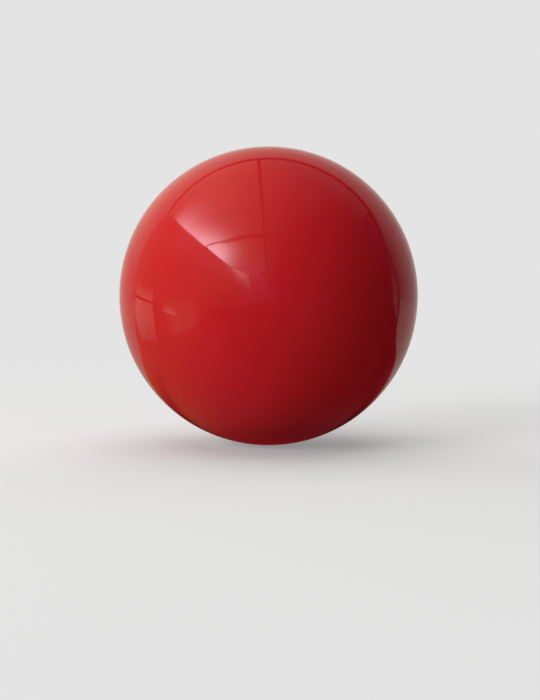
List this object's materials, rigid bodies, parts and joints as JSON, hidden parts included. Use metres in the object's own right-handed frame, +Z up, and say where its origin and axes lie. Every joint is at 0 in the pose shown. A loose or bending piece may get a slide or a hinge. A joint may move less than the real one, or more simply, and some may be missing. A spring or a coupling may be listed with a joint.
{
  "type": "contact juggling ball",
  "caption": "Glossy hollow ball for contact juggling: a seamless soft skin over a rigid welded core, with a flush push-in air valve plug at the back.",
  "frame": {"origin": "centre of the ball", "axes": "+Z up, +Y along the valve's axis towards the plug at the back, -Y towards the camera of the picture"},
  "size_m": [0.13, 0.1298, 0.13],
  "materials": {
    "skin_pvc": "gloss",
    "core_abs": "satin",
    "bush_rubber": "matte",
    "plug_pvc": "satin",
    "weight_rubber": "matte"
  },
  "bodies": {
    "ball": {"outer_skin": "skin_pvc", "core_front_half": "core_abs", "core_rear_half": "core_abs", "valve_bush": "bush_rubber", "balance_weight": "weight_rubber"},
    "plug": {"valve_plug": "plug_pvc"}
  },
  "joints": [
    {"name": "plug_pull", "type": "slide", "parent": "ball", "child": "plug", "axis": [0, 1, 0], "range_m": [0, 0.022]}
  ]
}
